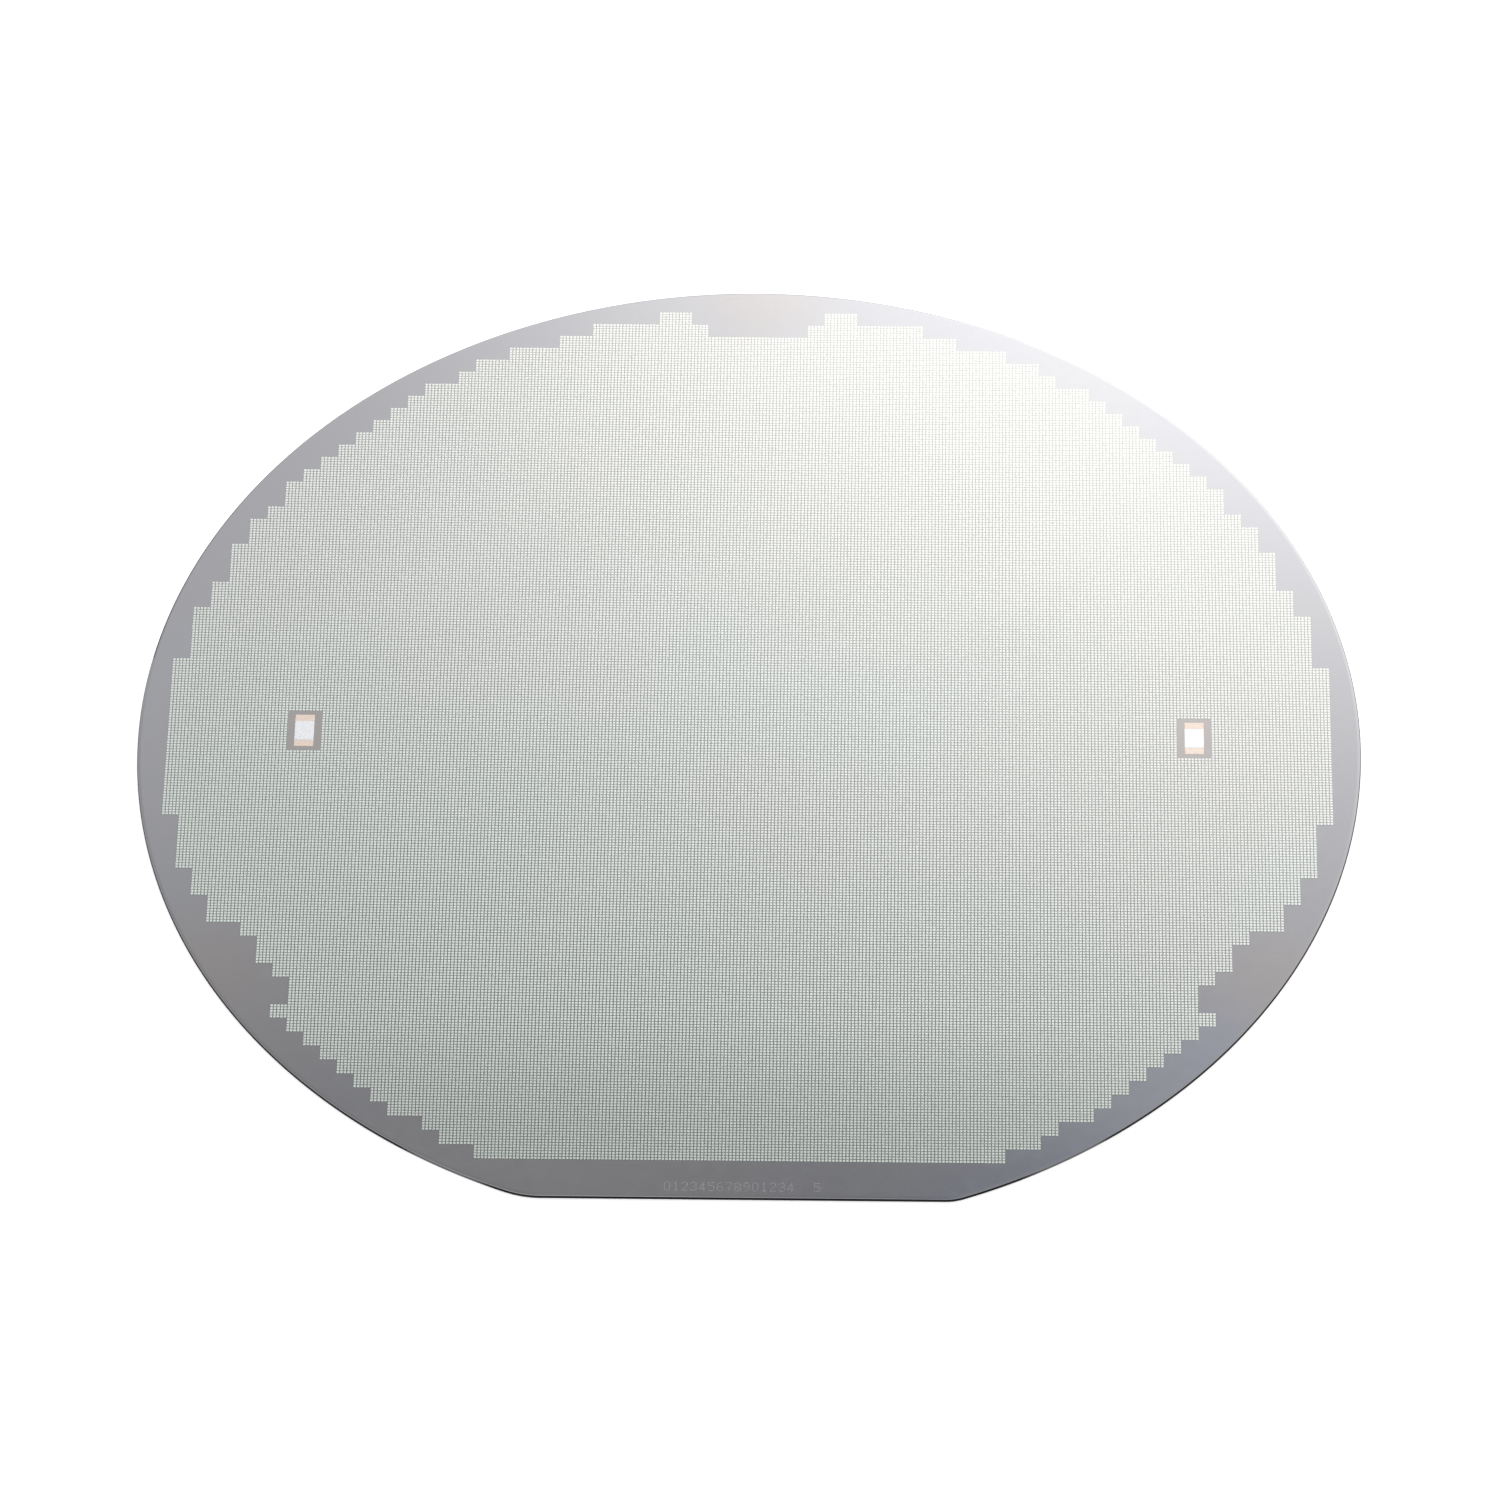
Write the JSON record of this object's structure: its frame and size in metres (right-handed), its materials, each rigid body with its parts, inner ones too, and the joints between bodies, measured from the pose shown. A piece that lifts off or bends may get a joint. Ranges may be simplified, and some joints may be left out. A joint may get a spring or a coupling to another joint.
{
  "type": "silicon wafer",
  "caption": "Thin round silicon wafer with one flat, a ground and rounded edge, and a step-edged field of tiny square dies on its polished front face.",
  "frame": {"origin": "centre of the round disc, on its back face, which is the face that it rests on", "axes": "+Z out of the patterned front face, the primary flat faces -Y, +X to the right when the front is seen with the flat nearest"},
  "size_m": [0.125, 0.1213, 0.0006],
  "materials": {
    "silicon": "polished single-crystal silicon, dark grey mirror",
    "die_film": "thin passivation film in the streets between dies, glossy grey-green",
    "die_metal": "sputtered metal on each die, pale satin grey",
    "test_band": "thin metal film, pale peach",
    "test_metal": "thick metal plate, pale and faintly blue",
    "laser_mark": "matt melted dots"
  },
  "bodies": {
    "root": {"wafer": "silicon"}
  },
  "joints": []
}
